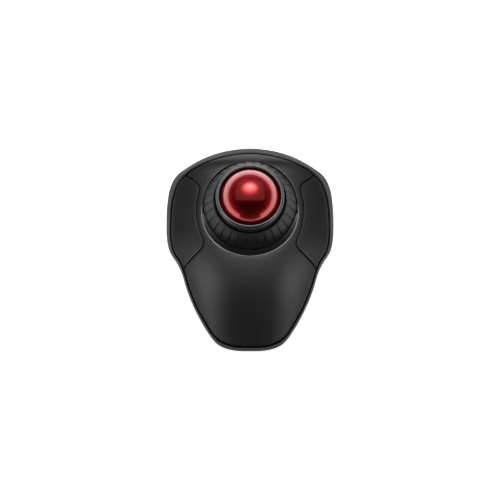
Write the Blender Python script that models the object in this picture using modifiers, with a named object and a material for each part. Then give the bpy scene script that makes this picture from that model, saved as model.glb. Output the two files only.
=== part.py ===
"""Trackball mouse with a scroll ring, two side buttons and a palm rest.

Every size and place below is in millimetres and is measured from the ball's vertical axis: +X to
the right, +Y away from the user, +Z up from the desk. One empty carries that datum to its place in
Blender's metres, so that the origin lies under the middle of the whole mouse.
"""

import math

import bmesh
import bpy
from mathutils import Matrix, Vector

MM = 0.001
GAP = 0.3  # clearance between pieces that touch on the real object

# ---------------------------------------------------------------- driving dimensions
BALL_Y = 23.4  # ball axis ahead of the middle of the mouse
BALL_RADIUS = 20.0
BALL_Z = 35.0

CASE_BOTTOM = 1.2
FLOOR_TOP = 3.2
COVER_THICKNESS = 2.0
FOOT_TOP = 1.5
ABOVE_ALL = 45.0  # top of the columns that cut the cover

RING_RADIUS, RING_TOP, RING_BOTTOM = 31.5, 35.2, 22.4
RING_MOUTH = 24.1  # inner radius at the ring's top, close round the collar
RING_SHOULDER = (31.1, 25.2)  # radius and height where the ring's slope ends
SLEEVE_INNER, SLEEVE_OUTER, SLEEVE_BOTTOM = 24.6, 26.2, 19.0
RING_GROOVES = 30
GROOVE_PHASE = math.radians(2)  # first groove, from +X
GROOVE_LENGTH, GROOVE_WIDTH, GROOVE_DEPTH = 9.0, 1.0, 0.8
SKIRT_OUTER, SKIRT_INNER, SKIRT_TOP, SKIRT_BOTTOM = 29.0, 28.2, 22.1, 15.0
WELL_RADIUS = 31.9
CUP_INNER, CUP_OUTER = 20.9, 22.7
CUP_FOOT, CUP_FOOT_RADIUS = 16.2, 26.1  # the flange that carries the ring
GLIDE_BOTTOM, GLIDE_TOP = 18.1, 18.7
BEARING_RADIUS = 1.5
BEARING_TILT = math.radians(38)  # below the ball's middle

PCB_BOTTOM, PCB_TOP = 6.2, 7.8
DOOR_TOP = 2.6
DOOR_FAR_Y = -34.0
DOOR_HINGE_Y, DOOR_HINGE_Z = -34.8, 1.9

BUTTON_GAP = 0.5
PIVOT_Y, PIVOT_Z = -32.0, 12.0
PIVOT_X = (38.2, 46.4)
PIN_RADIUS, EYE_RADIUS = 1.0, 1.3
SWITCH_X, SWITCH_Y = 42.0, 0.0
PLUNGER_TOP, PLUNGER_HEIGHT = 15.0, 1.1

CELL_RADIUS, CELL_LENGTH = 7.25, 49.2
CELL_Z = 10.15
CELL_YS = (-41.2, -56.0)
CELL_SHIFT = 2.3  # each cell sits against its plate contact
CELL_NUB = 1.0
SPRING_TURNS, SPRING_STEPS, SPRING_PITCH = 4, 8, 1.2
TRAY_SIZE, TRAY_WALL, TRAY_Y, TRAY_Z = (60.4, 32.2, 8.4), 1.0, -48.6, 7.8
RECEIVER_Y, RECEIVER_Z = -73.6, 5.6

POST_BOTTOM = 8.3  # the cover's screw posts end just above the case's bosses
PILOT_RADIUS = 1.4  # hole for a case screw
LEG_HOLE_RADIUS = 1.2
HEAD_BOTTOM, HEAD_HEIGHT = 1.7, 1.2
CASE_HEAD, CASE_SHANK, CASE_SCREW_TOP = 2.4, 1.1, 12.5
CUP_HEAD, CUP_SHANK, CUP_SCREW_TOP = 2.0, 0.9, 9.5
SCREW_PLACES = ((30.0, 29.0), (-30.0, 29.0), (34.7, -58.0), (-34.7, -58.0))
PCB_SCREW_PLACES = ((46.0, -14.0), (-46.0, -14.0), (0.0, 18.0))
CUP_LEGS = [math.radians(a) for a in (35, 145, 270)]
LEG_CIRCLE, LEG_RADIUS = 17.0, 2.6

# Right halves of the widest outline and of the seam between case and cover, far end to near end.
OUTLINE = (
    (0.0, 50.1), (10.2, 49.3), (21.2, 47.0), (33.1, 42.4), (44.2, 35.6), (52.0, 28.8),
    (56.1, 19.7), (57.7, 8.0), (58.0, -3.0), (57.5, -16.5), (55.3, -26.7), (50.0, -35.4),
    (46.4, -43.2), (42.9, -54.6), (37.7, -67.3), (31.0, -79.9), (24.2, -89.8), (18.2, -94.3),
    (10.0, -96.5), (0.0, -96.9),
)
SEAM = (
    (0.0, 40.7), (7.0, 40.1), (14.4, 38.6), (21.2, 36.4), (28.2, 33.7), (35.0, 30.4),
    (41.5, 26.8), (48.8, 20.4), (52.3, 12.5), (54.0, 3.5), (54.5, -8.0), (54.2, -20.0),
    (52.2, -29.4), (47.7, -37.0), (44.8, -44.0), (41.3, -55.0), (36.0, -68.0), (30.3, -78.3),
    (25.2, -86.4), (19.5, -91.8), (11.0, -95.0), (0.0, -95.6),
)
# Inner edge of the right button, from its far corner to its near corner, with an end outside the
# body at both ends.
BUTTON_EDGE = (
    (52.0, 31.8), (43.3, 23.5), (37.0, 17.5), (34.6, 14.2), (34.6, 11.0), (35.9, 4.5),
    (36.5, -3.0), (35.7, -11.0), (33.9, -18.5), (31.7, -24.0), (31.0, -27.0), (32.0, -30.2),
    (35.2, -33.4), (41.6, -38.9), (45.0, -42.8), (50.0, -50.0),
)
# Stations of the top surface: y, height on the centre line, half width, drop at that half width.
STATIONS = (
    (45.0, 15.0, 54.5, 14.0), (42.0, 17.0, 54.5, 14.0), (32.0, 24.2, 54.5, 14.0),
    (20.0, 26.4, 54.5, 14.0), (0.0, 27.6, 54.5, 14.0), (-20.0, 28.2, 54.0, 14.4),
    (-38.0, 27.8, 48.5, 14.8), (-55.0, 25.0, 41.5, 13.0), (-75.0, 18.2, 32.5, 8.2),
    (-90.0, 12.2, 23.0, 3.2), (-96.0, 10.0, 18.0, 1.2),
)
CROWN_POWER = 2.7
# The scoop in front of the ring ends at a circle that lies on the top surface.
SCOOP_CENTRE_Y, SCOOP_RADIUS = -5.0, 32.7
TRIM_END = math.radians(1)
TRIM_RADIUS = 0.4

LOOP_POINTS = 52


# ---------------------------------------------------------------- curves and surfaces
def spline(points, closed, steps=12):
    """Catmull-Rom curve through 2D points."""
    count = len(points)
    out = []
    for i in range(count if closed else count - 1):
        if closed:
            a, b, c, d = (Vector(points[(i + k) % count]) for k in (-1, 0, 1, 2))
        else:
            a, b, c, d = (Vector(points[min(max(i + k, 0), count - 1)]) for k in (-1, 0, 1, 2))
        for s in range(steps):
            t = s / steps
            out.append(
                0.5 * (2 * b + (c - a) * t + (2 * a - 5 * b + 4 * c - d) * t * t
                       + (3 * b - a - 3 * c + d) * t ** 3)
            )
    if not closed:
        out.append(Vector(points[-1]))
    return out


def resample(points, count):
    """The same closed loop with its points evenly spaced."""
    loop = list(points) + [points[0]]
    lengths = [(b - a).length for a, b in zip(loop, loop[1:])]
    step = sum(lengths) / count
    out, walked, i = [], 0.0, 0
    for k in range(count):
        while walked + lengths[i] < k * step:
            walked += lengths[i]
            i += 1
        out.append(loop[i].lerp(loop[i + 1], (k * step - walked) / lengths[i]))
    return out


def whole_outline(right_half):
    """The closed outline whose right half is given, as evenly spaced points."""
    left = [(-x, y) for x, y in reversed(right_half[1:-1])]
    return resample(spline(list(right_half) + left, closed=True), LOOP_POINTS)


def station(y):
    """Centre height, half width and edge drop of the top surface at y."""
    rows = sorted(STATIONS)
    y = min(max(y, rows[0][0]), rows[-1][0])
    i = max(k for k in range(len(rows) - 1) if rows[k][0] <= y)
    a, b = rows[i], rows[i + 1]
    before, after = rows[max(i - 1, 0)], rows[min(i + 2, len(rows) - 1)]
    span = b[0] - a[0]
    t = (y - a[0]) / span
    found = []
    for k in (1, 2, 3):
        slope_a = (b[k] - before[k]) / (b[0] - before[0]) * span
        slope_b = (after[k] - a[k]) / (after[0] - a[0]) * span
        found.append(
            (2 * t ** 3 - 3 * t * t + 1) * a[k] + (t ** 3 - 2 * t * t + t) * slope_a
            + (3 * t * t - 2 * t ** 3) * b[k] + (t ** 3 - t * t) * slope_b
        )
    return found


def top_height(x, y):
    crest, half_width, drop = station(y)
    return crest - drop * (abs(x) / half_width) ** CROWN_POWER


def scoop_radius(angle):
    """Distance from the ball axis to the scoop's edge, in that direction."""
    across = SCOOP_CENTRE_Y * math.cos(angle)
    return SCOOP_CENTRE_Y * math.sin(angle) + math.sqrt(SCOOP_RADIUS ** 2 - across ** 2)


def polar(radius, angle, z):
    return (radius * math.cos(angle), radius * math.sin(angle), z)


# ---------------------------------------------------------------- objects
def clear_scene():
    for obj in list(bpy.data.objects):
        bpy.data.objects.remove(obj)


clear_scene()
PARTS = bpy.data.collections.new("trackball_mouse")
CUTTERS = bpy.data.collections.new("cutters")
bpy.context.scene.collection.children.link(PARTS)
bpy.context.scene.collection.children.link(CUTTERS)
DATUM = bpy.data.objects.new("ball_axis", None)
DATUM.location = (0, BALL_Y * MM, 0)
PARTS.objects.link(DATUM)


def add_object(name, data, place=(0, 0, 0), helper=False):
    obj = bpy.data.objects.new(name, data)
    (CUTTERS if helper else PARTS).objects.link(obj)
    obj.parent = DATUM
    obj.location = Vector(place) * MM
    if helper:
        obj.hide_render = True
        obj.display_type = "WIRE"
    return obj


def mesh_object(name, bm, place=(0, 0, 0), helper=False):
    mesh = bpy.data.meshes.new(name)
    bmesh.ops.recalc_face_normals(bm, faces=bm.faces)
    bm.to_mesh(mesh)
    bm.free()
    mesh.shade_smooth()
    mesh.set_sharp_from_angle(angle=math.radians(35))
    return add_object(name, mesh, place, helper)


def box(name, size, centre, helper=False, bevel=0.0):
    bm = bmesh.new()
    bmesh.ops.create_cube(bm, size=MM, matrix=Matrix.Diagonal((*size, 1)))
    obj = mesh_object(name, bm, centre, helper)
    if bevel:
        round_edges(obj, bevel)
    return obj


def cylinder(name, radius, low, high, place=(0, 0), axis="Z", segments=24, helper=False, top=None):
    """A cylinder or cone along an axis from low to high. place holds the two other coordinates."""
    turn = {
        "X": Matrix.Rotation(math.pi / 2, 4, "Y"),
        "Y": Matrix.Rotation(-math.pi / 2, 4, "X"),
        "Z": Matrix.Identity(4),
    }[axis]
    bm = bmesh.new()
    bmesh.ops.create_cone(
        bm, cap_ends=True, segments=segments, radius1=radius * MM,
        radius2=(radius if top is None else top) * MM, depth=(high - low) * MM, matrix=turn,
    )
    centre = list(place)
    centre.insert("XYZ".index(axis), (low + high) / 2)
    return mesh_object(name, bm, centre, helper)


def ball(name, radius, centre, subdivisions, helper=False):
    bm = bmesh.new()
    bmesh.ops.create_icosphere(bm, subdivisions=subdivisions, radius=radius * MM)
    return mesh_object(name, bm, centre, helper)


def plate(name, outline, low, high, place=(0, 0), helper=False):
    """A flat outline with thickness, as a mesh so that it can be cut."""
    curve = bpy.data.curves.new(name, "CURVE")
    curve.dimensions = "2D"
    curve.fill_mode = "BOTH"
    curve.extrude = (high - low) / 2 * MM
    line = curve.splines.new("POLY")
    line.points.add(len(outline) - 1)
    for point, (x, y) in zip(line.points, outline):
        point.co = (x * MM, y * MM, 0, 1)
    line.use_cyclic_u = True
    guide = bpy.data.objects.new(name + "_guide", curve)
    CUTTERS.objects.link(guide)
    bpy.context.view_layer.update()
    graph = bpy.context.evaluated_depsgraph_get()
    bm = bmesh.new()
    bm.from_mesh(bpy.data.meshes.new_from_object(guide.evaluated_get(graph)))
    bpy.data.objects.remove(guide)
    bmesh.ops.remove_doubles(bm, verts=bm.verts, dist=1e-6)
    return mesh_object(name, bm, (*place, (low + high) / 2), helper)


def stadium(length, width, steps=10):
    """Outline of a slot with round ends, lying along X."""
    radius, half = width / 2, (length - width) / 2
    turns = [math.pi * k / steps - math.pi / 2 for k in range(steps + 1)]
    right = [(half + radius * math.cos(t), radius * math.sin(t)) for t in turns]
    return right + [(-x, -y) for x, y in right]


def loft(name, loops, helper=False):
    """A closed body through a stack of loops, each of 3D points, with a flat face at both ends."""
    bm = bmesh.new()
    rings = [[bm.verts.new(Vector(p) * MM) for p in loop] for loop in loops]
    for lower, upper in zip(rings, rings[1:]):
        for k in range(len(lower)):
            n = (k + 1) % len(lower)
            bm.faces.new((lower[k], lower[n], upper[n], upper[k]))
    bm.faces.new(reversed(rings[0]))
    bm.faces.new(rings[-1])
    return mesh_object(name, bm, helper=helper)


def open_surface(name, loops, helper=False):
    """An open sheet through a stack of loops, facing up when the loops run outwards."""
    bm = bmesh.new()
    rings = [[bm.verts.new(Vector(p) * MM) for p in loop] for loop in loops]
    for inner, outer in zip(rings, rings[1:]):
        for k in range(len(inner)):
            n = (k + 1) % len(inner)
            bm.faces.new((inner[k], inner[n], outer[n], outer[k]))
    mesh = bpy.data.meshes.new(name)
    bm.to_mesh(mesh)
    bm.free()
    mesh.shade_smooth()
    return add_object(name, mesh, helper=helper)


def loop_band(name, sections, helper=False):
    """A closed ring whose cross-section changes round its circle. Each section is a loop."""
    bm = bmesh.new()
    rings = [[bm.verts.new(Vector(p) * MM) for p in section] for section in sections]
    for one, other in zip(rings, rings[1:] + rings[:1]):
        for k in range(len(one)):
            n = (k + 1) % len(one)
            bm.faces.new((one[k], one[n], other[n], other[k]))
    return mesh_object(name, bm, helper=helper)


def lathe(name, profile, steps=48, place=(0, 0, 0), closed=True, helper=False):
    """A turned shape. The profile is (radius, z), down its outer side first."""
    bm = bmesh.new()
    verts = [bm.verts.new((r * MM, 0, z * MM)) for r, z in profile]
    for a, b in zip(verts, verts[1:] + (verts[:1] if closed else [])):
        bm.edges.new((a, b))
    mesh = bpy.data.meshes.new(name)
    bm.to_mesh(mesh)
    bm.free()
    obj = add_object(name, mesh, place, helper)
    screw = obj.modifiers.new("turn", "SCREW")
    screw.steps = screw.render_steps = steps
    screw.use_merge_vertices = True
    screw.merge_threshold = 0.00001
    screw.use_smooth_shade = True
    return obj


def wire(name, points, radius, resolution=2, cyclic=False):
    """A round wire or tube along points."""
    curve = bpy.data.curves.new(name, "CURVE")
    curve.dimensions = "3D"
    curve.bevel_depth = radius * MM
    curve.bevel_resolution = resolution
    curve.use_fill_caps = True
    line = curve.splines.new("POLY")
    line.points.add(len(points) - 1)
    for point, co in zip(line.points, points):
        point.co = (*(Vector(co) * MM), 1)
    line.use_cyclic_u = cyclic
    return add_object(name, curve)


def boolean(obj, others, operation="DIFFERENCE"):
    for other in others:
        modifier = obj.modifiers.new(f"{operation.lower()}_{other.name}", "BOOLEAN")
        modifier.operation = operation
        modifier.object = other


def round_edges(obj, width, segments=2):
    bevel = obj.modifiers.new("rounded", "BEVEL")
    bevel.width = width * MM
    bevel.segments = segments
    bevel.limit_method = "ANGLE"
    bevel.angle_limit = math.radians(40)


def move_origin(obj, place):
    """Puts the origin of a mesh object on its joint's axis, without moving its mesh."""
    shift = Vector(place) * MM - obj.location
    obj.data.transform(Matrix.Translation(-shift))
    obj.location += shift


# ---------------------------------------------------------------- materials
MATERIALS = {
    # name: colour, roughness, metallic
    "cover_black": ((0.030, 0.030, 0.031), 0.42, 0.0),
    "case_grey": ((0.055, 0.057, 0.064), 0.55, 0.0),
    "ring_rubber": ((0.040, 0.043, 0.048), 0.50, 0.0),
    "collar_black": ((0.020, 0.020, 0.020), 0.25, 0.0),
    "trim_grey": ((0.42, 0.42, 0.41), 0.30, 0.8),
    "ball_red": ((0.36, 0.012, 0.018), 0.08, 0.0),
    "inner_plastic": ((0.12, 0.12, 0.12), 0.60, 0.0),
    "glide_white": ((0.75, 0.75, 0.72), 0.40, 0.0),
    "bearing_white": ((0.85, 0.83, 0.78), 0.15, 0.0),
    "steel": ((0.55, 0.55, 0.55), 0.30, 1.0),
    "board_green": ((0.02, 0.14, 0.06), 0.45, 0.0),
    "chip_black": ((0.015, 0.015, 0.015), 0.40, 0.0),
    "clear_lens": ((0.80, 0.85, 0.88), 0.05, 0.0),
    "plunger_red": ((0.55, 0.05, 0.04), 0.45, 0.0),
    "cell_jacket": ((0.10, 0.22, 0.12), 0.35, 0.0),
    "foot_rubber": ((0.018, 0.018, 0.018), 0.80, 0.0),
    "slider_grey": ((0.30, 0.31, 0.33), 0.50, 0.0),
}


def paint(obj, slot):
    material = bpy.data.materials.get(slot)
    if material is None:
        colour, roughness, metallic = MATERIALS[slot]
        material = bpy.data.materials.new(slot)
        material.use_nodes = True
        shader = material.node_tree.nodes["Principled BSDF"]
        shader.inputs["Base Color"].default_value = (*colour, 1)
        shader.inputs["Roughness"].default_value = roughness
        shader.inputs["Metallic"].default_value = metallic
    obj.data.materials.append(material)
    return obj


# ---------------------------------------------------------------- casing
def top_shell(name, edge=0.985):
    """The skin of the mouse's top, from a hole under the ring out to the seam."""
    seam = [p * edge for p in whole_outline(SEAM)]
    shares = (0.25, 0.46, 0.66, 0.82, 0.93, 1.0)
    loops = [[(p.x * s, p.y * s, top_height(p.x * s, p.y * s)) for p in seam] for s in shares]
    shell = open_surface(name, loops)
    solidify = shell.modifiers.new("thickness", "SOLIDIFY")
    solidify.thickness = COVER_THICKNESS * MM
    solidify.offset = -1
    return shell


def button_prism(name, side, grow):
    """The column over one button, with its inner edge moved outwards by grow."""
    edge = spline(BUTTON_EDGE, closed=False, steps=4)
    moved = []
    for k, p in enumerate(edge):
        along = (edge[min(k + 1, len(edge) - 1)] - edge[max(k - 1, 0)]).normalized()
        moved.append(p + Vector((along.y, -along.x)) * grow)
    outer = [Vector((75, moved[-1].y)), Vector((75, moved[0].y))]
    outline = [(side * p.x, p.y) for p in moved + outer]
    return plate(name, outline, FLOOR_TOP, ABOVE_ALL, helper=True)


def opening_prism(name):
    """The column cut out of the cover for the ring, its scoop and the trim line."""
    outline = []
    for k in range(LOOP_POINTS):
        angle = math.tau * k / LOOP_POINTS
        radius = max(WELL_RADIUS + 0.1, scoop_radius(angle) + 0.75)
        outline.append(polar(radius, angle, 0)[:2])
    return plate(name, outline, FLOOR_TOP, ABOVE_ALL, helper=True)


def below_cover(name):
    """Everything under the middle of the cover's thickness, which trims the posts."""
    seam = [p * 0.95 for p in whole_outline(SEAM)]
    shares = (1.0, 0.88, 0.72, 0.5, 0.25)
    tops = [[(p.x * s, p.y * s, top_height(p.x * s, p.y * s) - 1.0) for p in seam] for s in shares]
    return loft(name, [[(p.x, p.y, 0.0) for p in seam]] + tops, helper=True)


def make_cover():
    cover = paint(top_shell("top_cover"), "cover_black")
    boolean(cover, [
        button_prism("right_button_cut", 1, BUTTON_GAP / 2),
        button_prism("left_button_cut", -1, BUTTON_GAP / 2),
        opening_prism("ring_opening"),
    ])
    limit = below_cover("below_cover")
    for k, (x, y) in enumerate(SCREW_PLACES):
        post = cylinder(f"cover_post_{k}", 2.5, POST_BOTTOM, 30, (x, y), segments=16, helper=True)
        boolean(post, [limit], "INTERSECT")
        boolean(cover, [post], "UNION")
        hole = cylinder(f"cover_post_hole_{k}", PILOT_RADIUS, POST_BOTTOM - 1, CASE_SCREW_TOP + 2, (x, y),
                        segments=12, helper=True)
        boolean(cover, [hole])
    return limit


def make_button(side, word, limit):
    button = paint(top_shell(f"{word}_button"), "cover_black")
    boolean(button, [button_prism(f"{word}_button_column", side, -BUTTON_GAP / 2)], "INTERSECT")
    boss = cylinder(f"{word}_press_boss", 1.8, PLUNGER_TOP + GAP, 30,
                    (side * SWITCH_X, SWITCH_Y), segments=16, helper=True)
    pivot_mid = side * sum(PIVOT_X) / 2
    tab = box(f"{word}_pivot_tab", (2.4, 4.4, 20), (pivot_mid, PIVOT_Y, PIVOT_Z + 8), helper=True)
    for piece in (boss, tab):
        boolean(piece, [limit], "INTERSECT")
        boolean(button, [piece], "UNION")
    eye = cylinder(f"{word}_pivot_eye", EYE_RADIUS, pivot_mid - 5, pivot_mid + 5,
                   (PIVOT_Y, PIVOT_Z), axis="X", segments=16, helper=True)
    boolean(button, [eye])
    move_origin(button, (pivot_mid, PIVOT_Y, PIVOT_Z))


def make_pivot(side, word):
    """The pin of a button's hinge and the bracket that carries it."""
    low, high = sorted((side * PIVOT_X[0], side * PIVOT_X[1]))
    pin = cylinder(f"{word}_pivot_pin", PIN_RADIUS, low, high, (PIVOT_Y, PIVOT_Z), "X", 16)
    paint(pin, "steel")
    mid = (low + high) / 2
    bracket = box(f"{word}_pivot_bracket", (high - low, 6.0, 9.2), (mid, PIVOT_Y, 8.2))
    slot = box(f"{word}_bracket_slot", (3.6, 8.0, 8.0), (mid, PIVOT_Y, 12.4), helper=True)
    seat = cylinder(f"{word}_bracket_seat", EYE_RADIUS, low - 1, high + 1, (PIVOT_Y, PIVOT_Z), "X",
                    16, helper=True)
    mouth = box(f"{word}_bracket_mouth", (20.0, 2 * EYE_RADIUS, 4.0), (mid, PIVOT_Y, PIVOT_Z + 2.0),
                helper=True)
    boolean(bracket, [slot, seat, mouth])
    paint(bracket, "inner_plastic")


def make_case():
    """The lower shell: a tray whose leaning wall rolls over to the seam."""
    widest, seam = whole_outline(OUTLINE), whole_outline(SEAM)

    def level(z, lean, shrink):
        """A flat loop: lean 0 is the widest outline and 1 is the seam."""
        found = [p.lerp(q, lean) for p, q in zip(widest, seam)]
        return [(p.x * shrink, (p.y + BALL_Y) * shrink - BALL_Y, z) for p in found]

    def near_cover(lean, lift):
        return [(x, y, top_height(x, y) + lift) for x, y, _ in level(0, lean, 1.0)]

    shoulder = near_cover(0.80, -1.0)
    middle = [Vector(a).lerp(Vector(b), 0.5) for a, b in zip(level(4.2, -0.02, 1.0), shoulder)]
    loops = [
        level(CASE_BOTTOM, 0.0, 0.965), level(2.0, 0.0, 0.988), level(4.2, 0.0, 1.0), middle,
        shoulder, near_cover(0.96, -0.15), near_cover(1.0, -0.3),
        near_cover(1.03, -COVER_THICKNESS - 1.6), level(FLOOR_TOP, 0.55, 0.99),
    ]
    case = loft("bottom_case", loops)
    # round bosses for the case screws, the board and the cup's legs
    for k, (x, y) in enumerate(SCREW_PLACES):
        boss = cylinder(f"case_boss_{k}", 3.4, 2.5, POST_BOTTOM - GAP, (x, y), segments=16, helper=True)
        boolean(case, [boss], "UNION")
        head = cylinder(f"case_counterbore_{k}", CASE_HEAD + GAP, 0, 3.4, (x, y), segments=16,
                        helper=True)
        hole = cylinder(f"case_hole_{k}", PILOT_RADIUS, 0, 9, (x, y), segments=12, helper=True)
        boolean(case, [head, hole])
    for k, angle in enumerate(CUP_LEGS):
        place = polar(LEG_CIRCLE, angle, 0)[:2]
        head = cylinder(f"leg_counterbore_{k}", CUP_HEAD + GAP, 0, 3.0, place, segments=16, helper=True)
        hole = cylinder(f"leg_hole_{k}", LEG_HOLE_RADIUS, 0, 4, place, segments=12, helper=True)
        boolean(case, [head, hole])
    for k, (x, y) in enumerate(PCB_SCREW_PLACES):
        boss = cylinder(f"board_boss_{k}", 2.4, 2.5, PCB_BOTTOM - GAP, (x, y), segments=16,
                        helper=True)
        hole = cylinder(f"board_boss_hole_{k}", LEG_HOLE_RADIUS, 3.6, 8, (x, y), segments=12,
                        helper=True)
        boolean(case, [boss], "UNION")
        boolean(case, [hole])
    boolean(case, [
        plate("door_cut", door_outline(0.4), 0, 5, helper=True),
        plate("slider_slot", stadium(10.4, 4.4), 0, 5, place=SLIDER_PLACE, helper=True),
        cylinder("pairing_hole", 2.8, 0, 5, PAIRING_PLACE, segments=20, helper=True),
    ])
    for name, outline_points, place in FEET:
        grown = [(x * (1 + 0.6 / FOOT_LENGTH), y * (1 + 0.6 / FOOT_WIDTH))
                 for x, y in outline_points]
        boolean(case, [plate(f"{name}_pocket", grown, 0, 1.8, place, helper=True)])
    paint(case, "case_grey")


# ---------------------------------------------------------------- underside
SLIDER_PLACE = (-25.0, 8.0)
PAIRING_PLACE = (25.0, 8.0)
FOOT_LENGTH, FOOT_WIDTH = 16.0, 6.0
FEET = [
    (f"foot_{word}", stadium(FOOT_LENGTH, FOOT_WIDTH), place)
    for word, place in (
        ("far_left", (-35.0, 22.0)), ("far_right", (35.0, 22.0)), ("mid_left", (-43.0, -24.0)),
        ("mid_right", (43.0, -24.0)), ("near", (0.0, -87.5)),
    )
]


def door_outline(grow):
    """The battery door: square at the hinge end, tapering to the latch end."""
    half, near_half = 28.4 + grow, 12.0 + grow
    far, shoulder, near = DOOR_FAR_Y + grow, -67.0, -81.2 - grow
    return [(-half, far), (-half, shoulder), (-near_half, near),
            (near_half, near), (half, shoulder), (half, far)]


def make_underside():
    door = plate("battery_door", door_outline(0.0), CASE_BOTTOM, DOOR_TOP)
    grip = plate("door_grip", stadium(16, 5), 0, CASE_BOTTOM + 0.6, (0, -75.5), helper=True)
    boolean(door, [grip])
    move_origin(door, (0, DOOR_HINGE_Y, DOOR_HINGE_Z))
    paint(door, "case_grey")

    for name, outline_points, place in FEET:
        paint(plate(name, outline_points, 0, FOOT_TOP, place), "foot_rubber")

    for k, (x, y) in enumerate(SCREW_PLACES):
        screw(f"case_screw_{k + 1}", (x, y), CASE_HEAD, CASE_SHANK, CASE_SCREW_TOP)

    slider_x, slider_y = SLIDER_PLACE
    slider = plate("mode_slider", stadium(5.2, 3.6), 1.5, 4.0, SLIDER_PLACE)
    flange = plate("slider_flange", stadium(9.6, 6.0), 3.5, 4.6, SLIDER_PLACE, helper=True)
    boolean(slider, [flange], "UNION")
    for k in (-1, 0, 1):
        groove = box(f"slider_groove_{k}", (0.5, 5, 1.0), (slider_x + 1.2 * k, slider_y, 1.5),
                     helper=True)
        boolean(slider, [groove])
    paint(slider, "slider_grey")
    paint(box("mode_switch", (11.0, 5.0, 1.0), (slider_x, slider_y, 5.4)), "chip_black")

    cap = cylinder("pairing_button", 2.4, 1.5, 4.0, PAIRING_PLACE, segments=24)
    rim = cylinder("pairing_rim", 3.4, 3.5, 4.6, PAIRING_PLACE, segments=24, helper=True)
    boolean(cap, [rim], "UNION")
    paint(cap, "slider_grey")
    paint(box("pairing_switch", (5.0, 5.0, 0.6), (*PAIRING_PLACE, 5.6)), "chip_black")


def screw(name, place, head_radius, shank_radius, shank_top):
    """A flat-headed screw pointing up, with a cross slot in its head."""
    head_top = HEAD_BOTTOM + HEAD_HEIGHT
    body = cylinder(name, head_radius, HEAD_BOTTOM, head_top, place, segments=16)
    shank = cylinder(f"{name}_shank", shank_radius, head_top - 0.4, shank_top, place, segments=10,
                     helper=True)
    boolean(body, [shank], "UNION")
    for k, size in enumerate(((2.6, 0.6, 1.0), (0.6, 2.6, 1.0))):
        slot = box(f"{name}_slot_{k}", size, (*place, HEAD_BOTTOM), helper=True)
        boolean(body, [slot])
    paint(body, "steel")


# ---------------------------------------------------------------- scroll ring and ball
def make_ring():
    """The scroll ring with its grooves, the slotted encoder ring under it and its glide washer."""
    slope_start = (RING_MOUTH + 0.6, RING_TOP)
    ring = lathe("scroll_ring", [
        slope_start, RING_SHOULDER, (RING_RADIUS, 24.4), (RING_RADIUS, RING_BOTTOM),
        (30.0, RING_BOTTOM), (29.6, 24.4), (SLEEVE_OUTER, 29.2), (SLEEVE_OUTER, SLEEVE_BOTTOM),
        (SLEEVE_INNER, SLEEVE_BOTTOM), (SLEEVE_INNER, 31.5), (RING_MOUTH, RING_TOP - 0.4),
    ], steps=RING_GROOVES)
    run, fall = RING_SHOULDER[0] - slope_start[0], slope_start[1] - RING_SHOULDER[1]
    middle = (slope_start[0] + run / 2, 0, slope_start[1] - fall / 2)
    grooves = bmesh.new()
    for k in range(RING_GROOVES):
        place = (
            Matrix.Rotation(GROOVE_PHASE + math.tau * k / RING_GROOVES, 4, "Z")
            @ Matrix.Translation(Vector(middle) * MM)
            @ Matrix.Rotation(math.atan2(fall, run), 4, "Y")
            @ Matrix.Diagonal((GROOVE_LENGTH, GROOVE_WIDTH, 2 * GROOVE_DEPTH, 1))
        )
        bmesh.ops.create_cube(grooves, size=MM, matrix=place)
    boolean(ring, [mesh_object("ring_grooves", grooves, helper=True)])
    paint(ring, "ring_rubber")

    skirt = lathe("encoder_ring", [
        (SKIRT_OUTER, SKIRT_TOP), (SKIRT_OUTER, SKIRT_BOTTOM), (SKIRT_INNER, SKIRT_BOTTOM),
        (SKIRT_INNER, SKIRT_TOP - 0.8), (SLEEVE_OUTER + GAP, SKIRT_TOP - 0.8),
        (SLEEVE_OUTER + GAP, SKIRT_TOP),
    ], steps=RING_GROOVES)
    slots = bmesh.new()
    for k in range(RING_GROOVES):
        place = (
            Matrix.Rotation(math.tau * (k + 0.25) / RING_GROOVES, 4, "Z")
            @ Matrix.Translation(Vector(((SKIRT_OUTER + SKIRT_INNER) / 2, 0, SKIRT_BOTTOM + 1)) * MM)
            @ Matrix.Diagonal((3.0, 2.6, 7.0, 1))
        )
        bmesh.ops.create_cube(slots, size=MM, matrix=place)
    boolean(skirt, [mesh_object("encoder_slots", slots, helper=True)])
    paint(skirt, "inner_plastic")

    washer = [(CUP_FOOT_RADIUS, GLIDE_TOP), (CUP_FOOT_RADIUS, GLIDE_BOTTOM),
              (SLEEVE_INNER, GLIDE_BOTTOM), (SLEEVE_INNER, GLIDE_TOP)]
    paint(lathe("ring_glide_washer", washer), "glide_white")


def make_surround():
    """The fixed collar round the ring: a well on the far side, a scoop on the near side."""
    sections = []
    for k in range(LOOP_POINTS):
        angle = math.tau * k / LOOP_POINTS
        edge = scoop_radius(angle) - GAP - 0.5
        x, y, _ = polar(edge, angle, 0)
        crescent = edge > WELL_RADIUS + 0.5
        lip = edge if crescent else WELL_RADIUS + 0.5
        lip_z = top_height(x, y) - 0.3 if crescent else 21.6
        inner_z = 24.4 if crescent else 21.4
        sections.append([
            polar(WELL_RADIUS, angle, 17.0), polar(WELL_RADIUS, angle, inner_z),
            polar(lip, angle, lip_z),
            polar(lip, angle, min(lip_z - 1.0, top_height(x, y) - COVER_THICKNESS - 1.0)),
            polar(WELL_RADIUS + 1.6, angle, 19.6), polar(WELL_RADIUS + 1.6, angle, 17.0),
        ])
    paint(loop_band("ring_surround", sections), "collar_black")

    points = []
    first, last, count = -math.pi - TRIM_END, TRIM_END, 36
    for k in range(count + 1):
        angle = first + (last - first) * k / count
        x, y, _ = polar(scoop_radius(angle), angle, 0)
        points.append((x, y, top_height(x, y) - 0.1))
    paint(wire("trim_crescent", points, TRIM_RADIUS), "trim_grey")


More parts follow.
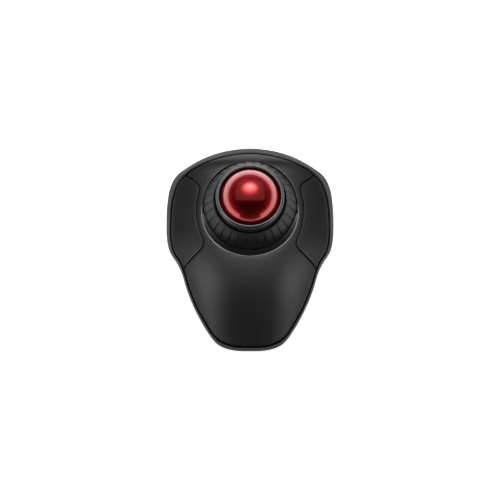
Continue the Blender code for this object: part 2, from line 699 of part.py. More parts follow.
def bowl(radius, start, end, count):
    """Profile points on a sphere about the ball, from one angle off straight down to another."""
    angles = (math.radians(start + (end - start) * k / count) for k in range(count + 1))
    return [(radius * math.sin(t), BALL_Z - radius * math.cos(t)) for t in angles]


def make_ball_and_cup():
    lip = [(20.25, 39.8), (20.35, 41.4), (21.0, 42.15), (21.9, 42.05), (22.7, 41.1), (23.1, 38.4)]
    sleeve_radius, flange_top = SLEEVE_INNER - 0.4, GLIDE_BOTTOM - GAP
    sleeve = [(23.4, 35.6), (sleeve_radius, 31.4), (sleeve_radius, flange_top),
              (CUP_FOOT_RADIUS, flange_top), (CUP_FOOT_RADIUS, CUP_FOOT), (CUP_OUTER, CUP_FOOT),
              (CUP_OUTER, BALL_Z - 9.0)]
    opening = 14  # degrees from straight down to the edge of the sensor's hole
    profile = lip + sleeve + bowl(CUP_OUTER, 66, opening, 4) + bowl(CUP_INNER, opening, 90, 6)
    cup = lathe("ball_cup", profile, steps=36)
    space = ball("bowl_space", CUP_INNER, (0, 0, BALL_Z), 3, helper=True)
    for k, angle in enumerate(CUP_LEGS):
        x, y, _ = polar(LEG_CIRCLE, angle, 0)
        leg = cylinder(f"cup_leg_{k}", LEG_RADIUS, FLOOR_TOP + GAP, 24.0, (x, y), segments=16,
                       helper=True)
        boolean(leg, [space])
        boolean(cup, [leg], "UNION")
        hole = cylinder(f"cup_leg_hole_{k}", LEG_HOLE_RADIUS, 2.0, CUP_SCREW_TOP + 1.5, (x, y),
                        segments=12, helper=True)
        boolean(cup, [hole])
    reach = BALL_RADIUS + GAP + BEARING_RADIUS
    for k in range(3):
        angle = math.radians(90 + 120 * k)
        x, y, _ = polar(reach * math.cos(BEARING_TILT), angle, 0)
        centre = (x, y, BALL_Z - reach * math.sin(BEARING_TILT))
        seat = ball(f"bearing_seat_{k}", 3.2, centre, 2, helper=True)
        pocket = ball(f"bearing_pocket_{k}", BEARING_RADIUS + GAP, centre, 2, helper=True)
        boolean(seat, [space])
        boolean(cup, [seat], "UNION")
        boolean(cup, [pocket])
        paint(ball(f"support_bearing_{k + 1}", BEARING_RADIUS, centre, 2), "bearing_white")
    paint(cup, "collar_black")
    paint(ball("ball", BALL_RADIUS, (0, 0, BALL_Z), 4), "ball_red")

    lens = cylinder("sensor_lens", 4.6, 10.0, 12.2, (0, 0), segments=24, top=3.6)
    paint(lens, "clear_lens")
    chip = box("optical_sensor", (9.0, 7.0, 1.6), (0, 0, PCB_TOP + GAP + 0.8), bevel=0.2)
    paint(chip, "chip_black")


# ---------------------------------------------------------------- electronics
def make_board():
    half = [(50.0, -24.0), (50.0, 8.0), (38.0, 21.0), (26.0, 23.0)]
    outline = half + [(-x, y) for x, y in reversed(half)]
    outline += [(-44.0, -27.5), (-30.0, -31.5), (30.0, -31.5), (44.0, -27.5)]
    board = plate("main_board", outline, PCB_BOTTOM, PCB_TOP)
    for k, angle in enumerate(CUP_LEGS):
        x, y, _ = polar(LEG_CIRCLE, angle, 0)
        boolean(board, [cylinder(f"board_leg_hole_{k}", LEG_RADIUS + 0.5, 5, 9, (x, y), segments=16,
                                 helper=True)])
    for k, place in enumerate(PCB_SCREW_PLACES):
        boolean(board, [cylinder(f"board_screw_hole_{k}", PILOT_RADIUS, 5, 9, place, segments=12,
                                 helper=True)])
    for side in (1, -1):
        notch = box(f"board_notch_{side}", (12, 8, 4), (side * 42.3, PIVOT_Y + 1.0, 7), helper=True)
        boolean(board, [notch])
    paint(board, "board_green")
    for k, (x, y) in enumerate(PCB_SCREW_PLACES):
        body = cylinder(f"board_screw_{k + 1}", 2.0, PCB_TOP + GAP, PCB_TOP + GAP + 1.1, (x, y),
                        segments=16)
        shank = cylinder(f"board_screw_shank_{k}", 0.9, 4.0, PCB_TOP + GAP + 0.5, (x, y),
                         segments=10, helper=True)
        boolean(body, [shank], "UNION")
        paint(body, "steel")

    fork = box("ring_encoder_fork", (6.0, 4.5, 12.6), (0, -28.65, PCB_TOP + GAP + 6.3))
    slot = box("fork_slot", (8.0, 2.2, 6.4), (0, -28.6, 17.8), helper=True)
    boolean(fork, [slot])
    paint(fork, "chip_black")
    paint(box("radio_chip", (6.0, 6.0, 1.0), (28.0, -12.0, PCB_TOP + GAP + 0.5), bevel=0.15),
          "chip_black")


def make_switch(side, word):
    body = box(f"{word}_switch", (5.8, 12.8, 6.2), (side * SWITCH_X, SWITCH_Y - 1.5, 11.2), bevel=0.3)
    bore = box(f"{word}_switch_bore", (2.0, 3.4, 3.0), (side * SWITCH_X, SWITCH_Y, 14.3), helper=True)
    boolean(body, [bore])
    paint(body, "chip_black")
    plunger = box(f"{word}_switch_plunger", (1.4, 2.8, PLUNGER_HEIGHT),
                  (side * SWITCH_X, SWITCH_Y, PLUNGER_TOP - PLUNGER_HEIGHT / 2))
    paint(plunger, "plunger_red")


# ---------------------------------------------------------------- battery bay
def make_cell(word, y, side):
    """One cell, and its two contacts. side is the end, +1 or -1, that its terminal points to."""
    start = side * CELL_SHIFT - CELL_LENGTH / 2
    cell = cylinder(f"battery_{word}", CELL_RADIUS, start, start + CELL_LENGTH, (y, CELL_Z), "X", 32)
    tip = side * (CELL_LENGTH / 2 + CELL_SHIFT)
    nub = cylinder(f"cell_nub_{word}", 2.75, tip - CELL_NUB, tip + CELL_NUB, (y, CELL_Z), "X", 16,
                   helper=True)
    boolean(cell, [nub], "UNION")
    paint(cell, "cell_jacket")

    thickness = 0.5
    plate_x = tip + side * (CELL_NUB + GAP + thickness / 2)
    paint(box(f"contact_plate_{word}", (thickness, 9.0, 8.0), (plate_x, y, 8.0)), "steel")

    back = side * (CELL_SHIFT - CELL_LENGTH / 2 - GAP - 0.5)
    coil = []
    for n in range(SPRING_TURNS * SPRING_STEPS + 1):
        angle = math.tau * n / SPRING_STEPS
        radius = 2.4 + 1.8 * n / (SPRING_TURNS * SPRING_STEPS)
        coil.append((back - side * SPRING_PITCH * n / SPRING_STEPS, y + radius * math.cos(angle),
                     CELL_Z + radius * math.sin(angle)))
    paint(wire(f"contact_spring_{word}", coil, 0.4), "steel")


def make_battery_bay():
    """The tray with its receiver pocket, two cells lying head to tail, and the stored receiver."""
    length, depth, height = TRAY_SIZE
    pocket = (21.8, 18.4, 5.0)
    tray = box("battery_tray", TRAY_SIZE, (0, TRAY_Y, TRAY_Z))
    boolean(tray, [box("receiver_pocket", pocket, (0, -73.2, 6.1), helper=True)], "UNION")
    hollow = (length - 2 * TRAY_WALL, depth - 2 * TRAY_WALL, height + 4)
    pocket_hollow = (pocket[0] - 2 * TRAY_WALL, pocket[1] - 3 * TRAY_WALL, height + 4)
    boolean(tray, [
        box("tray_hollow", hollow, (0, TRAY_Y, TRAY_Z), helper=True),
        box("pocket_hollow", pocket_hollow, (0, -73.7, TRAY_Z), helper=True),
    ])
    paint(tray, "inner_plastic")
    for word, y, side in zip(("far", "near"), CELL_YS, (1, -1)):
        make_cell(word, y, side)

    body = box("receiver_body", (8.0, 12.0, 5.0), (-5.2, RECEIVER_Y, RECEIVER_Z), bevel=0.5)
    paint(body, "case_grey")
    plug = box("receiver_plug", (10.0, 12.0, 4.4), (4.2, RECEIVER_Y, RECEIVER_Z))
    boolean(plug, [box("receiver_mouth", (8.0, 10.8, 3.2), (6.0, RECEIVER_Y, RECEIVER_Z), helper=True)])
    paint(plug, "steel")


def main():
    limit = make_cover()
    make_case()
    make_underside()
    make_ring()
    make_surround()
    make_ball_and_cup()
    make_board()
    make_battery_bay()
    for side, word in ((-1, "left"), (1, "right")):
        make_button(side, word, limit)
        make_pivot(side, word)
        make_switch(side, word)
    for k, angle in enumerate(CUP_LEGS):
        screw(f"cup_screw_{k + 1}", polar(LEG_CIRCLE, angle, 0)[:2], CUP_HEAD, CUP_SHANK, CUP_SCREW_TOP)


main()
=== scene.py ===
"""Looks of the trackball mouse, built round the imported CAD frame.

Pieces are drawn in millimetres from the ball's vertical axis: +X to the right, +Y away from the
user, +Z up from the desk. place() carries them to metres in the frame.
"""
import math

import bmesh
import bpy
import numpy as np
from mathutils import Matrix, Vector, geometry, kdtree


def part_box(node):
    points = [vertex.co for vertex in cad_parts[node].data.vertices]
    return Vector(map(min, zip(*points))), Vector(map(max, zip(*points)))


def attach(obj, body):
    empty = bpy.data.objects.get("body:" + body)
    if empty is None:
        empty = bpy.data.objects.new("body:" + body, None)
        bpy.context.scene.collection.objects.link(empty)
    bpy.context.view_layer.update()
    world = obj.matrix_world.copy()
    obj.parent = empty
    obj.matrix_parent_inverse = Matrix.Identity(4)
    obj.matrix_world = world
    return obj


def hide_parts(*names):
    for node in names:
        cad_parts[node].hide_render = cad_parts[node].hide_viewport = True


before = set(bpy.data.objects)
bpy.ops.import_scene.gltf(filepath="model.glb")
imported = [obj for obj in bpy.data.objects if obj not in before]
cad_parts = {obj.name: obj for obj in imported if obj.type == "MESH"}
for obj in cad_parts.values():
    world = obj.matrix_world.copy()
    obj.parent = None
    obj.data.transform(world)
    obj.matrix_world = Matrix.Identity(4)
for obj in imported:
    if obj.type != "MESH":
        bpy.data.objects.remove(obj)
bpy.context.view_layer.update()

MM = 0.001


# ---------------------------------------------------------------- sizes from the frame
def box_mm(node):
    """Lowest and highest corner of a CAD node, in millimetres from the ball's axis."""
    low, high = (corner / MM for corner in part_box(node))
    shift = Vector((0, AXIS_Y, 0))
    return low - shift, high - shift


AXIS_Y = sum(corner.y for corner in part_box("ball")) / 2 / MM
BALL_LOW, BALL_HIGH = box_mm("ball")
BALL_RADIUS = (BALL_HIGH.z - BALL_LOW.z) / 2
BALL_Z = (BALL_HIGH.z + BALL_LOW.z) / 2
RING_LOW, RING_HIGH = box_mm("scroll_ring")
RING_RADIUS, RING_TOP = RING_HIGH.x, RING_HIGH.z
CASE_BOTTOM = box_mm("bottom_case")[0].z
WELL_RADIUS = RING_RADIUS + 0.4

# ---------------------------------------------------------------- shape of the body
# Right halves of the widest outline and of the seam between case and cover, far end to near end.
OUTLINE = (
    (0.0, 50.1), (10.2, 49.3), (21.2, 47.0), (33.1, 42.4), (44.2, 35.6), (52.0, 28.8),
    (56.1, 19.7), (57.7, 8.0), (58.0, -3.0), (57.5, -16.5), (55.3, -26.7), (50.0, -35.4),
    (46.4, -43.2), (42.9, -54.6), (37.7, -67.3), (31.0, -79.9), (24.2, -89.8), (18.2, -94.3),
    (10.0, -96.5), (0.0, -96.9),
)
SEAM = (
    (0.0, 40.7), (7.0, 40.1), (14.4, 38.6), (21.2, 36.4), (28.2, 33.7), (35.0, 30.4),
    (41.5, 26.8), (48.8, 20.4), (52.3, 12.5), (54.0, 3.5), (54.5, -8.0), (54.2, -20.0),
    (52.2, -29.4), (47.7, -37.0), (44.8, -44.0), (41.3, -55.0), (36.0, -68.0), (30.3, -78.3),
    (25.2, -86.4), (19.5, -91.8), (11.0, -95.0), (0.0, -95.6),
)
# Inner edge of the right button, far corner to near corner, running past the body at both ends.
BUTTON_EDGE = (
    (52.0, 31.8), (43.3, 23.5), (37.0, 17.5), (34.6, 14.2), (34.6, 11.0), (35.9, 4.5),
    (36.5, -3.0), (35.7, -11.0), (33.9, -18.5), (31.7, -24.0), (31.0, -27.0), (32.0, -30.2),
    (35.2, -33.4), (41.6, -38.9), (45.0, -42.8), (50.0, -50.0),
)
# Stations of the top surface: y, height on the centre line, half width, drop at that half width.
STATIONS = (
    (45.0, 15.0, 54.5, 14.0), (42.0, 17.0, 54.5, 14.0), (32.0, 24.2, 54.5, 14.0),
    (20.0, 26.4, 54.5, 14.0), (0.0, 27.6, 54.5, 14.0), (-20.0, 28.2, 54.0, 14.4),
    (-38.0, 27.8, 48.5, 14.8), (-55.0, 25.0, 41.5, 13.0), (-75.0, 18.2, 32.5, 8.2),
    (-90.0, 12.2, 23.0, 3.2), (-96.0, 10.0, 18.0, 1.2),
)
CROWN_POWER = 2.7
SCOOP_CENTRE_Y, SCOOP_RADIUS = -5.0, 32.7
COVER_THICKNESS = 2.0
COVER_INSET = 0.85  # from the seam line to the cover's edge
CASE_INSET = -0.1  # from the seam line to the case's lip
BUTTON_GAP = 0.75
EDGE_ROUND = 0.35


# ---------------------------------------------------------------- lines and loops
def spline(points, closed, steps=12):
    """Catmull-Rom curve through 2D points."""
    points = np.array(points, float)
    if closed:
        a, b, c, d = (np.roll(points, -k, 0) for k in (-1, 0, 1, 2))
    else:
        padded = np.vstack([points[:1], points, points[-1:]])
        a, b, c, d = padded[:-3], padded[1:-2], padded[2:-1], padded[3:]
    t = (np.arange(steps) / steps)[None, :, None]
    a, b, c, d = (p[:, None, :] for p in (a, b, c, d))
    curve = 0.5 * (2 * b + (c - a) * t + (2 * a - 5 * b + 4 * c - d) * t ** 2
                   + (3 * b - a - 3 * c + d) * t ** 3)
    curve = curve.reshape(-1, points.shape[1])
    return curve if closed else np.vstack([curve, points[-1:]])


def even(line, spacing=None, count=None, closed=True):
    """The same line with its points evenly spaced."""
    line = np.vstack([line, line[:1]]) if closed else np.array(line, float)
    walked = np.concatenate([[0], np.cumsum(np.linalg.norm(np.diff(line, axis=0), axis=1))])
    count = count or max(8, round(walked[-1] / spacing))
    at = np.linspace(0, walked[-1], count, endpoint=not closed)
    return np.column_stack([np.interp(at, walked, column) for column in line.T])


def whole(right_half, count):
    """The closed loop, anticlockwise, whose right half is given from far end to near end."""
    right = np.array(right_half)
    left = right[-2:0:-1] * (-1, 1)
    return even(spline(np.vstack([right, left]), closed=True), count=count)[::-1]


def soften(loop, reach):
    """The loop with its corners rounded over about this distance."""
    step = np.linalg.norm(loop[1] - loop[0])
    for _ in range(max(1, round(2 * (reach / step) ** 2))):
        loop = (np.roll(loop, 1, 0) + 2 * loop + np.roll(loop, -1, 0)) / 4
    return loop


def inward(loop):
    """Unit normals of a closed anticlockwise loop, pointing inside."""
    along = np.roll(loop, -1, 0) - np.roll(loop, 1, 0)
    along /= np.linalg.norm(along, axis=1)[:, None]
    return np.column_stack([-along[:, 1], along[:, 0]])


def inside(points, loop):
    """Which of the points lie inside the loop."""
    x, y = np.asarray(points, float).T
    found = np.zeros(len(x), bool)
    for (ax, ay), (bx, by) in zip(loop, np.roll(loop, -1, 0)):
        if ay != by:
            found ^= ((ay > y) != (by > y)) & (x < ax + (y - ay) * (bx - ax) / (by - ay))
    return found


def circle(radius, centre=(0, 0), count=48):
    turn = math.tau * np.arange(count) / count
    return np.column_stack([centre[0] + radius * np.cos(turn), centre[1] + radius * np.sin(turn)])


def stadium(length, width, centre=(0, 0), steps=12):
    """A slot outline with round ends, lying along X."""
    radius, half = width / 2, (length - width) / 2
    turn = math.pi * np.arange(steps + 1) / steps - math.pi / 2
    right = np.column_stack([half + radius * np.cos(turn), radius * np.sin(turn)])
    return np.vstack([right, -right]) + centre


def polygon(corners, reach, spacing=0.5):
    """A straight-sided outline with rounded corners."""
    return soften(even(np.array(corners, float), spacing), reach)


# ---------------------------------------------------------------- the top surface
def station_table():
    """Station values at even steps of y, blended so that the surface has no kink."""
    step, reach = 0.5, 3.0
    rows = np.array(sorted(STATIONS))
    y = np.arange(rows[0, 0], rows[-1, 0] + step, step)
    slopes = np.gradient(rows[:, 1:], rows[:, 0], axis=0)
    i = np.clip(np.searchsorted(rows[:, 0], y, side="right") - 1, 0, len(rows) - 2)
    span = (rows[i + 1, 0] - rows[i, 0])[:, None]
    t = np.clip((y - rows[i, 0])[:, None] / span, 0, 1)
    value = ((2 * t ** 3 - 3 * t ** 2 + 1) * rows[i, 1:] + (t ** 3 - 2 * t ** 2 + t) * span * slopes[i]
             + (3 * t ** 2 - 2 * t ** 3) * rows[i + 1, 1:] + (t ** 3 - t ** 2) * span * slopes[i + 1])
    window = np.exp(-0.5 * (np.arange(-9, 10) * step / (reach / 2)) ** 2)
    padded = np.pad(value, ((9, 9), (0, 0)), mode="reflect", reflect_type="odd")
    smooth = [np.convolve(column, window / window.sum(), mode="valid") for column in padded.T]
    return y, np.array(smooth)


TABLE_Y, TABLE = station_table()


def top_height(x, y):
    crest, half_width, drop = (np.interp(y, TABLE_Y, row) for row in TABLE)
    return crest - drop * (np.abs(x) / half_width) ** CROWN_POWER


def scoop_radius(angle):
    """Distance from the ball's axis to the scoop's edge, in that direction."""
    across = SCOOP_CENTRE_Y * np.cos(angle)
    return SCOOP_CENTRE_Y * np.sin(angle) + np.sqrt(SCOOP_RADIUS ** 2 - across ** 2)


# ---------------------------------------------------------------- mesh tools
def new_mesh():
    """An empty mesh with a "worn" value at each vertex, which the materials read."""
    bm = bmesh.new()
    bm.verts.layers.float.new("worn")
    return bm


def verts(bm, points, z, worn=0.0):
    """New vertices at 2D points. worn, from 0 to 1, is how much of an edge they are."""
    heights = np.broadcast_to(z, (len(points),))
    made = [bm.verts.new((p[0], p[1], h)) for p, h in zip(points, heights)]
    layer = bm.verts.layers.float["worn"]
    for vert in made:
        vert[layer] = worn
    return made


def strips(bm, rings, closed=True):
    """Faces between each ring of vertices and the next."""
    for one, other in zip(rings, rings[1:]):
        for k in range(len(one) if closed else len(one) - 1):
            n = (k + 1) % len(one)
            bm.faces.new((one[k], one[n], other[n], other[k]))


def fill(bm, rims, spacing, height):
    """Covers the area inside the first rim and outside the others, over an even grid."""
    loops = [np.array([v.co.xy for v in rim]) for rim in rims]
    border = [v for rim in rims for v in rim]
    low, high = loops[0].min(0), loops[0].max(0)
    rows = np.arange(low[1], high[1], spacing * math.sqrt(0.75))
    columns = np.arange(low[0], high[0], spacing)
    grid = np.array([(x + k % 2 * spacing / 2, y) for k, y in enumerate(rows) for x in columns])
    keep = inside(grid, loops[0])
    for hole in loops[1:]:
        keep &= ~inside(grid, hole)
    tree = kdtree.KDTree(len(border))
    for k, v in enumerate(border):
        tree.insert((v.co.x, v.co.y, 0), k)
    tree.balance()
    grid = [p for p in grid[keep] if tree.find((*p, 0))[2] > 0.6 * spacing]
    edges, start = [], 0
    for rim in rims:
        edges += [(start + k, start + (k + 1) % len(rim)) for k in range(len(rim))]
        start += len(rim)
    points = [v.co.xy for v in border] + [Vector(p) for p in grid]
    found, _, faces, source, _, _ = geometry.delaunay_2d_cdt(points, edges, [], 1, 1e-7)
    flat = np.array([(p.x, p.y) for p in found])
    centres = flat[np.array(faces)].mean(1)
    covered = np.ones(len(faces), bool)
    for hole in loops[1:]:
        covered &= ~inside(centres, hole)
    used = {k for face, keep in zip(faces, covered) if keep for k in face}
    corner = {}
    for k in used:
        ids = [i for i in source[k] if i < len(border)]
        x, y = flat[k]
        corner[k] = border[ids[0]] if ids else bm.verts.new((x, y, float(height(x, y))))
    for face, keep in zip(faces, covered):
        if keep:
            bm.faces.new([corner[k] for k in face])


def rounded_edge(bm, loop, sign, height, radius, down, steps=4):
    """Rings over a rounded edge. sign is 1 on an outer loop, -1 on a hole's; down -1 faces down."""
    into = inward(loop) * sign
    rings = []
    for k in range(steps + 1):
        turn = math.pi / 2 * k / steps
        at = loop + into * radius * (1 - math.sin(turn))
        z = height(at[:, 0], at[:, 1]) - down * radius * (1 - math.cos(turn))
        rings.append(verts(bm, at, z, worn=0.4 + 0.6 * math.sin(2 * turn) if k else 0.0))
    return rings


def skin(bm, outer, height, thickness, radius, spacing, holes=(), down=1):
    """A closed plate under a surface, with rounded edges along its outline and its holes."""
    rims, feet = [], []
    for loop, sign in [(outer, 1)] + [(hole, -1) for hole in holes]:
        rings = rounded_edge(bm, loop, sign, height, radius, down)
        foot = verts(bm, loop, height(loop[:, 0], loop[:, 1]) - down * thickness)
        strips(bm, rings + [foot])
        rims.append(rings[0])
        feet.append(foot)
    fill(bm, rims, spacing, height)
    fill(bm, feet, 2 * spacing, lambda x, y: height(x, y) - down * thickness)


def level(z):
    """A flat height function."""
    return lambda x, y: z + 0 * x


def lathe(bm, profile, steps=96, centre=(0, 0), closed=True, worn=()):
    """A turned ring or solid. The profile is (radius, z) points, and a radius of 0 is the axis."""
    turn = math.tau * np.arange(steps) / steps
    around = np.column_stack([np.cos(turn), np.sin(turn)])
    rings = []
    for k, (r, z) in enumerate(profile):
        if r == 0:
            rings.append([bm.verts.new((*centre, z))] * steps)
        else:
            rings.append(verts(bm, around * r + centre, z, worn=1.0 if k in worn else 0.0))
    for one, other in zip(rings, rings[1:] + (rings[:1] if closed else [])):
        for k in range(steps):
            n = (k + 1) % steps
            corners = list(dict.fromkeys((one[k], one[n], other[n], other[k])))
            if len(corners) > 2:
                bm.faces.new(corners)


def arc(centre, radius, first, last, steps=6):
    """Points (r, z) on a circle in a profile, between two angles in degrees."""
    turns = [math.radians(first + (last - first) * k / steps) for k in range(steps + 1)]
    return [(centre[0] + radius * math.cos(t), centre[1] + radius * math.sin(t)) for t in turns]


def place(bm):
    bm.transform(Matrix.Translation((0, AXIS_Y * MM, 0)) @ Matrix.Scale(MM, 4))


def piece(name, bm, body, slot, stands_for=(), sharp=35):
    """Makes a mesh piece that rides on a body and stands for some CAD nodes."""
    mesh = bpy.data.meshes.new(name)
    bmesh.ops.recalc_face_normals(bm, faces=bm.faces)
    place(bm)
    bm.to_mesh(mesh)
    bm.free()
    mesh.shade_smooth()
    mesh.set_sharp_from_angle(angle=math.radians(sharp))
    obj = bpy.data.objects.new(name, mesh)
    bpy.context.scene.collection.objects.link(obj)
    mesh.materials.append(MATERIALS[slot])
    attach(obj, body)
    if stands_for:
        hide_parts(*stands_for)
    return obj


# ---------------------------------------------------------------- materials
def node(tree, kind, **settings):
    made = tree.nodes.new(kind)
    for key, value in settings.items():
        if key in made.inputs:
            made.inputs[key].default_value = value
        else:
            setattr(made, key, value)
    return made


def moulded(name, colour, roughness, grain=9000, bump=0.25, mottle=0.12, worn=0.25, **shader_values):
    """Plastic, rubber or metal with a fine grain, uneven sheen, soft blotches and worn edges."""
    material = bpy.data.materials.new(name)
    material.use_nodes = True
    tree = material.node_tree
    link = tree.links.new
    shader = tree.nodes["Principled BSDF"]
    for key, value in shader_values.items():
        shader.inputs[key.replace("_", " ")].default_value = value
    place_in = node(tree, "ShaderNodeTexCoord").outputs["Object"]

    fine = node(tree, "ShaderNodeTexNoise", Scale=grain, Detail=2.0)
    link(place_in, fine.inputs["Vector"])
    relief = node(tree, "ShaderNodeBump", Strength=bump, Distance=0.00004)
    link(fine.outputs["Fac"], relief.inputs["Height"])
    link(relief.outputs["Normal"], shader.inputs["Normal"])

    broad = node(tree, "ShaderNodeTexNoise", Scale=60.0, Detail=3.0)
    link(place_in, broad.inputs["Vector"])
    tone = node(tree, "ShaderNodeMapRange")
    tone.inputs["To Min"].default_value = 1 - mottle
    tone.inputs["To Max"].default_value = 1 + mottle
    link(broad.outputs["Fac"], tone.inputs["Value"])
    edges = node(tree, "ShaderNodeAttribute", attribute_name="worn")
    lift = node(tree, "ShaderNodeMath", operation="MULTIPLY_ADD")
    lift.inputs[1].default_value = worn
    link(edges.outputs["Fac"], lift.inputs[0])
    link(tone.outputs["Result"], lift.inputs[2])
    tint = node(tree, "ShaderNodeVectorMath", operation="SCALE")
    tint.inputs[0].default_value = colour
    link(lift.outputs["Value"], tint.inputs["Scale"])
    link(tint.outputs["Vector"], shader.inputs["Base Color"])

    sheen = node(tree, "ShaderNodeMapRange")
    sheen.inputs["To Min"].default_value = roughness * 0.9
    sheen.inputs["To Max"].default_value = min(1.0, roughness * 1.1)
    link(broad.outputs["Fac"], sheen.inputs["Value"])
    link(sheen.outputs["Result"], shader.inputs["Roughness"])
    return material


def pearly_red(name):
    """Clear resin over red flakes: the flakes mirror light that comes straight in, and fade aslant."""
    material = moulded(name, (0.66, 0.014, 0.022), 0.27, grain=4000, bump=0.003, mottle=0.05, worn=0.0,
                       Coat_Weight=1.0, Coat_Roughness=0.02, Coat_IOR=1.6)
    tree = material.node_tree
    shader = tree.nodes["Principled BSDF"]
    facing = node(tree, "ShaderNodeLayerWeight", Blend=0.5)
    fade = node(tree, "ShaderNodeMapRange", interpolation_type="SMOOTHSTEP")
    for key, value in (("From Min", 0.0), ("From Max", 0.6), ("To Min", 0.95), ("To Max", 0.15)):
        fade.inputs[key].default_value = value
    tree.links.new(facing.outputs["Facing"], fade.inputs["Value"])
    tree.links.new(fade.outputs["Result"], shader.inputs["Metallic"])
    return material


MATERIALS = {
    "cover_black": moulded("cover_black", (0.0065, 0.0064, 0.006), 0.40, mottle=0.10,
                          Specular_IOR_Level=0.68),
    "case_grey": moulded("case_grey", (0.013, 0.0142, 0.0185), 0.58, grain=7000, bump=0.35,
                        Specular_IOR_Level=0.16),
    "ring_rubber": moulded("ring_rubber", (0.017, 0.0185, 0.021), 0.45, grain=6000, bump=0.3),
    "collar_black": moulded("collar_black", (0.013, 0.013, 0.0128), 0.26, bump=0.05,
                           Coat_Weight=1.0, Coat_Roughness=0.14),
    "trim_grey": moulded("trim_grey", (0.30, 0.295, 0.285), 0.32, Metallic=0.9, bump=0.05),
    "ball_red": pearly_red("ball_red"),
    "inner_plastic": moulded("inner_plastic", (0.05, 0.05, 0.05), 0.55),
    "glide_white": moulded("glide_white", (0.75, 0.75, 0.72), 0.40),
    "bearing_white": moulded("bearing_white", (0.85, 0.83, 0.78), 0.15, bump=0.02),
    "steel": moulded("steel", (0.55, 0.55, 0.54), 0.30, Metallic=1.0, bump=0.1),
    "board_green": moulded("board_green", (0.02, 0.12, 0.05), 0.40, grain=900, bump=0.3),
    "chip_black": moulded("chip_black", (0.016, 0.016, 0.017), 0.45),
    "clear_lens": moulded("clear_lens", (0.85, 0.88, 0.90), 0.05, bump=0.0,
                          Transmission_Weight=0.9, IOR=1.49),
    "plunger_red": moulded("plunger_red", (0.55, 0.05, 0.04), 0.45),
    "cell_jacket": moulded("cell_jacket", (0.10, 0.22, 0.12), 0.30, bump=0.05),
    "foot_rubber": moulded("foot_rubber", (0.016, 0.016, 0.016), 0.75, grain=5000, bump=0.5),
    "slider_grey": moulded("slider_grey", (0.22, 0.225, 0.24), 0.45),
}
CAD_SHOWN = {
    "inner_plastic": ["left_pivot_bracket", "right_pivot_bracket", "battery_tray", "encoder_ring"],
    "glide_white": ["ring_glide_washer"],
    "bearing_white": ["support_bearing_1", "support_bearing_2", "support_bearing_3"],
    "steel": ["left_pivot_pin", "right_pivot_pin", "contact_plate_far", "contact_plate_near",
              "contact_spring_far", "contact_spring_near", "receiver_plug", "case_screw_1",
              "case_screw_2", "case_screw_3", "case_screw_4", "board_screw_1", "board_screw_2",
              "board_screw_3", "cup_screw_1", "cup_screw_2", "cup_screw_3"],
    "board_green": ["main_board"],
    "chip_black": ["ring_encoder_fork", "radio_chip", "optical_sensor", "left_switch",
                   "right_switch", "mode_switch", "pairing_switch"],
    "clear_lens": ["sensor_lens"],
    "plunger_red": ["left_switch_plunger", "right_switch_plunger"],
    "cell_jacket": ["battery_far", "battery_near"],
    "case_grey": ["receiver_body"],
}


def paint_cad_nodes():
    for slot, names in CAD_SHOWN.items():
        for name in names:
            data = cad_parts[name].data
            data.materials.clear()
            data.materials.append(MATERIALS[slot])


# ---------------------------------------------------------------- cover and buttons
def edge_line(side, grow):
    """A button's inner edge, far corner to near corner, moved away from the button by grow."""
    line = even(spline(BUTTON_EDGE, closed=False), 0.3, closed=False)
    along = np.gradient(line, axis=0)
    along /= np.linalg.norm(along, axis=1)[:, None]
    line = line + np.column_stack([along[:, 1], -along[:, 0]]) * grow
    return line * (side, 1)


def button_column(side, grow):
    line = edge_line(side, grow)
    far, near = line[0], line[-1]
    return np.vstack([line, [(side * 75, near[1]), (side * 75, far[1])]])


def run(loop, keep):
    """The unbroken run of a closed loop's points where keep is true."""
    first = next(k for k in range(len(loop)) if keep[k] and not keep[k - 1])
    turned, kept = np.roll(loop, -first, 0), np.roll(keep, -first)
    return turned[:np.argmin(kept)] if not kept.all() else turned


def cover_edge():
    seam = even(whole(SEAM, 1600), 0.3)
    return seam + inward(seam) * COVER_INSET


def finished(loop):
    """Evenly spaced again, with its corners rounded."""
    return even(soften(even(loop, 0.25), 0.45), 0.42)


def button_outline(side):
    seam = cover_edge()
    line = edge_line(side, -BUTTON_GAP / 2)
    outer = run(seam, inside(seam, button_column(side, -BUTTON_GAP / 2)))
    inner = line[inside(line, seam)]
    loop = np.vstack([outer, inner if side > 0 else inner[::-1]])
    return finished(loop)


def cover_outline():
    seam = cover_edge()
    taken = [inside(seam, button_column(side, BUTTON_GAP / 2)) for side in (-1, 1)]
    free = ~(taken[0] | taken[1])
    far_run = run(seam, free & (seam[:, 1] > 0))
    near_run = run(seam, free & (seam[:, 1] < 0))
    left, right = (edge_line(side, BUTTON_GAP / 2) for side in (-1, 1))
    left, right = left[inside(left, seam)], right[inside(right, seam)]
    return finished(np.vstack([far_run, left, near_run, right[::-1]]))


def opening_outline():
    turn = math.tau * np.arange(720) / 720
    radius = np.maximum(WELL_RADIUS + 0.1, scoop_radius(turn) + 0.42)
    return even(np.column_stack([radius * np.cos(turn), radius * np.sin(turn)]), 0.6)


def make_cover():
    bm = new_mesh()
    skin(bm, cover_outline(), top_height, COVER_THICKNESS, EDGE_ROUND, 1.5, [opening_outline()])
    piece("cover_shell", bm, "body", "cover_black", ["top_cover"])


def make_button(side, word):
    bm = new_mesh()
    skin(bm, button_outline(side), top_height, COVER_THICKNESS, EDGE_ROUND, 1.3)
    piece(f"{word}_button_shell", bm, f"{word}_button", "cover_black", [f"{word}_button"])


